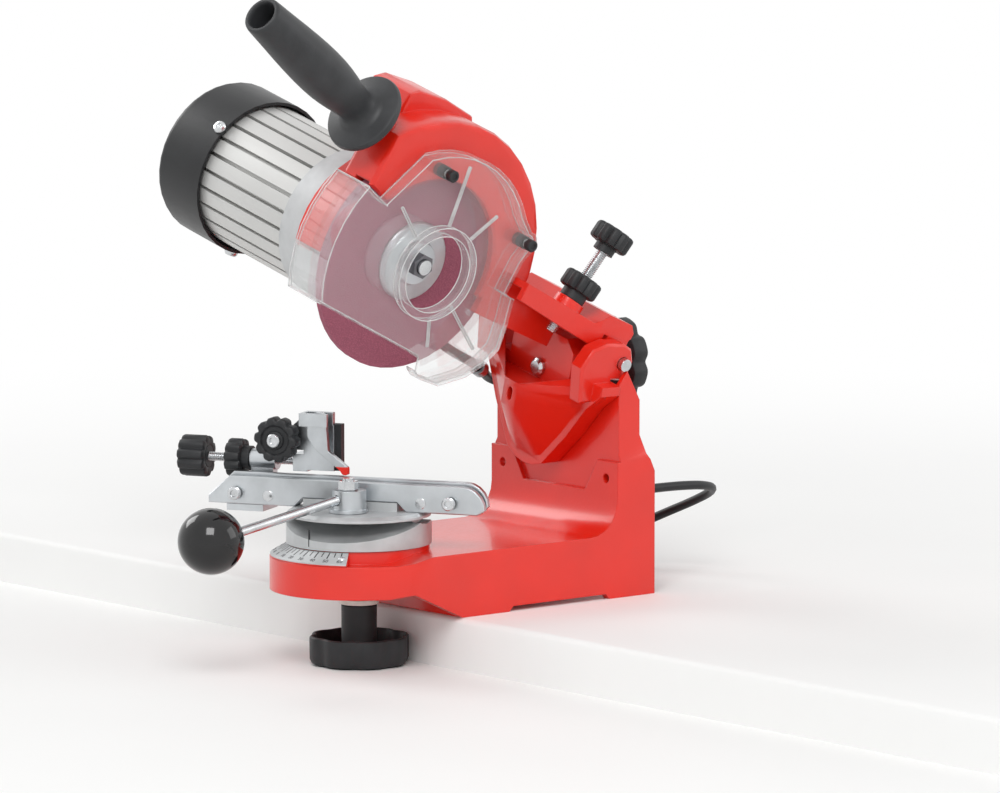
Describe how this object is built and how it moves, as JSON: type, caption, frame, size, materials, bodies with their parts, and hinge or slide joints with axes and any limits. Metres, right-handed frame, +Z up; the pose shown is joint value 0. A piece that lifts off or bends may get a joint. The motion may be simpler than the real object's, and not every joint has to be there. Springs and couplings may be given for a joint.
{
  "type": "electric chainsaw sharpener",
  "caption": "Bench-mounted electric grinder for saw chains: swivelling chain vise with stop and clamp lever, hinged motor head with guarded wheel, spring return and depth screw.",
  "frame": {"origin": "middle of the front foot's underside, where the base rests on the bench", "axes": "+Z up, +X from the vise to the column, -Y towards the operator's side with the wheel guard, +Y towards the motor"},
  "size_m": [0.4262, 0.2629, 0.433],
  "materials": {
    "red_paint": "gloss",
    "black_plastic": "matt",
    "gloss_black": "gloss",
    "white_plastic": "satin",
    "zinc_plate": "satin",
    "bare_aluminium": "satin",
    "bright_steel": "bright",
    "dark_steel": "satin",
    "clear_plastic": "clear",
    "abrasive": "rough",
    "cord_rubber": "matt"
  },
  "bodies": {
    "base": {"base_casting": "red_paint", "angle_scale_plate": "bare_aluminium", "terminal_box": "black_plastic", "cord_strain_relief": "cord_rubber", "mains_cord": "cord_rubber", "mains_cord_coil": "cord_rubber", "mains_plug": "cord_rubber", "swivel_bush": "dark_steel", "swivel_thrust_ring": "white_plastic", "motor_lead": "cord_rubber"},
    "table": {"turntable": "bare_aluminium", "swivel_stud": "bright_steel"},
    "swivel_knob": {"swivel_lock_knob": "black_plastic"},
    "vise": {"vise_cradle": "bare_aluminium", "rear_rail": "zinc_plate", "rail_screw_1": "bright_steel", "rail_screw_2": "bright_steel", "clamp_post": "bright_steel", "stop_carrier": "zinc_plate"},
    "jaw": {"front_rail": "zinc_plate"},
    "lever": {"clamp_hub": "zinc_plate", "clamp_lever_rod": "bright_steel", "clamp_ball_knob": "gloss_black"},
    "chain_stop": {"stop_bracket": "zinc_plate", "stop_block": "black_plastic", "pawl_spring": "bright_steel"},
    "stop_screw_assembly": {"stop_screw": "bright_steel", "stop_screw_knob": "black_plastic"},
    "stop_lock": {"stop_lock_wheel": "black_plastic"},
    "stop_clamp": {"stop_clamp_knob": "black_plastic"},
    "pawl": {"stop_pawl": "zinc_plate"},
    "tilt_frame": {"tilt_bracket": "red_paint", "tilt_bolt": "bright_steel", "hinge_pin": "bright_steel", "return_spring": "bright_steel", "lead_clip": "zinc_plate"},
    "tilt_knob": {"tilt_lock_knob": "black_plastic"},
    "head": {"head_casting": "red_paint", "switch_frame": "black_plastic", "motor_end_bell": "bare_aluminium", "stator_body": "bare_aluminium", "fan_cover": "black_plastic", "front_bearing": "bright_steel", "rear_bearing": "bright_steel", "wheel_guard": "clear_plastic", "guard_screw_1": "black_plastic", "guard_screw_2": "black_plastic", "handle_grip": "black_plastic"},
    "spindle": {"motor_shaft": "bright_steel", "cooling_fan": "black_plastic", "grinding_wheel": "abrasive", "flange_rear": "zinc_plate", "flange_front": "zinc_plate", "arbor_nut": "dark_steel"},
    "depth_stop": {"depth_screw": "bright_steel"},
    "depth_grip": {"depth_knob": "black_plastic"},
    "depth_lock": {"depth_lock_wheel": "black_plastic"},
    "switch": {"switch_rocker": "gloss_black"}
  },
  "joints": [
    {"name": "turntable_swivel", "type": "hinge", "parent": "base", "child": "table", "pos_m": [-0.0395, 0, 0.05], "axis": [0, 0, 1], "range_deg": [-65, 5]},
    {"name": "swivel_knob_turn", "type": "hinge", "parent": "table", "child": "swivel_knob", "pos_m": [-0.0395, 0, 0], "axis": [0, 0, 1], "range_deg": [-180, 180]},
    {"name": "vise_tilt", "type": "hinge", "parent": "table", "child": "vise", "pos_m": [-0.0395, 0, 0.089], "axis": [-0.5, 0.866, 0], "range_deg": [-10, 10]},
    {"name": "jaw_clamp", "type": "slide", "parent": "vise", "child": "jaw", "axis": [-0.866, -0.5, 0], "range_m": [0, 0.00075]},
    {"name": "clamp_lever_turn", "type": "hinge", "parent": "vise", "child": "lever", "pos_m": [-0.05552, -0.00925, 0.076], "axis": [0, 0, 1], "range_deg": [0, 60]},
    {"name": "chain_stop_slide", "type": "slide", "parent": "vise", "child": "chain_stop", "axis": [0.5, -0.866, 0], "range_m": [-0.00375, 0.00375]},
    {"name": "stop_screw_turn", "type": "hinge", "parent": "vise", "child": "stop_screw_assembly", "pos_m": [-0.05578, 0.06219, 0.0925], "axis": [0.5, -0.866, 0], "range_deg": [-1080, 1080]},
    {"name": "stop_lock_turn", "type": "hinge", "parent": "vise", "child": "stop_lock", "pos_m": [-0.05578, 0.06219, 0.0925], "axis": [0.5, -0.866, 0], "range_deg": [-90, 90]},
    {"name": "stop_clamp_turn", "type": "hinge", "parent": "chain_stop", "child": "stop_clamp", "pos_m": [-0.067, 0.04763, 0.108], "axis": [0.866, 0.5, 0], "range_deg": [-180, 180]},
    {"name": "pawl_lift", "type": "hinge", "parent": "chain_stop", "child": "pawl", "pos_m": [-0.053, 0.02338, 0.1236], "axis": [0.866, 0.5, 0], "range_deg": [-45, 0], "stiffness_Nm_per_rad": 0.02, "springref_deg": 28.65, "deforming": ["pawl_spring"]},
    {"name": "column_tilt", "type": "hinge", "parent": "base", "child": "tilt_frame", "pos_m": [0.1105, 0, 0.1451], "axis": [1, 0, 0], "range_deg": [-29.6, 0]},
    {"name": "tilt_knob_turn", "type": "hinge", "parent": "tilt_frame", "child": "tilt_knob", "pos_m": [0.17, 0, 0.1451], "axis": [1, 0, 0], "range_deg": [-180, 180]},
    {"name": "head_swing", "type": "hinge", "parent": "tilt_frame", "child": "head", "pos_m": [0.132, -0.00511, 0.16444], "axis": [0, -0.9668, -0.2554], "range_deg": [0, 21], "stiffness_Nm_per_rad": 11, "springref_deg": -57.3, "deforming": ["return_spring", "motor_lead"]},
    {"name": "spindle_spin", "type": "hinge", "parent": "head", "child": "spindle", "pos_m": [-0.01539, -0.02128, 0.22563], "axis": [0, 0.9668, 0.2554], "continuous": true},
    {"name": "depth_screw_travel", "type": "slide", "parent": "head", "child": "depth_stop", "axis": [0.5394, -0.2151, 0.8141], "range_m": [-0.018, 0.002]},
    {"name": "depth_knob_turn", "type": "hinge", "parent": "depth_stop", "child": "depth_grip", "pos_m": [0.09142, -0.03317, 0.17279], "axis": [0.5394, -0.2151, 0.8141], "range_deg": [-5400, 600]},
    {"name": "depth_lock_turn", "type": "hinge", "parent": "head", "child": "depth_lock", "pos_m": [0.09142, -0.03317, 0.17279], "axis": [0.5394, -0.2151, 0.8141], "range_deg": [-90, 90]},
    {"name": "switch_rock", "type": "hinge", "parent": "head", "child": "switch", "pos_m": [-0.00666, 0.00634, 0.31685], "axis": [0.9189, 0.1008, -0.3815], "range_deg": [-8, 8]}
  ],
  "couplings": [
    {"joint": "clamp_lever_turn", "follows": "jaw_clamp", "rad_per_m": 1396.3},
    {"joint": "stop_screw_turn", "follows": "chain_stop_slide", "rad_per_m": 5026.5},
    {"joint": "depth_knob_turn", "follows": "depth_screw_travel", "rad_per_m": 5026.5}
  ]
}
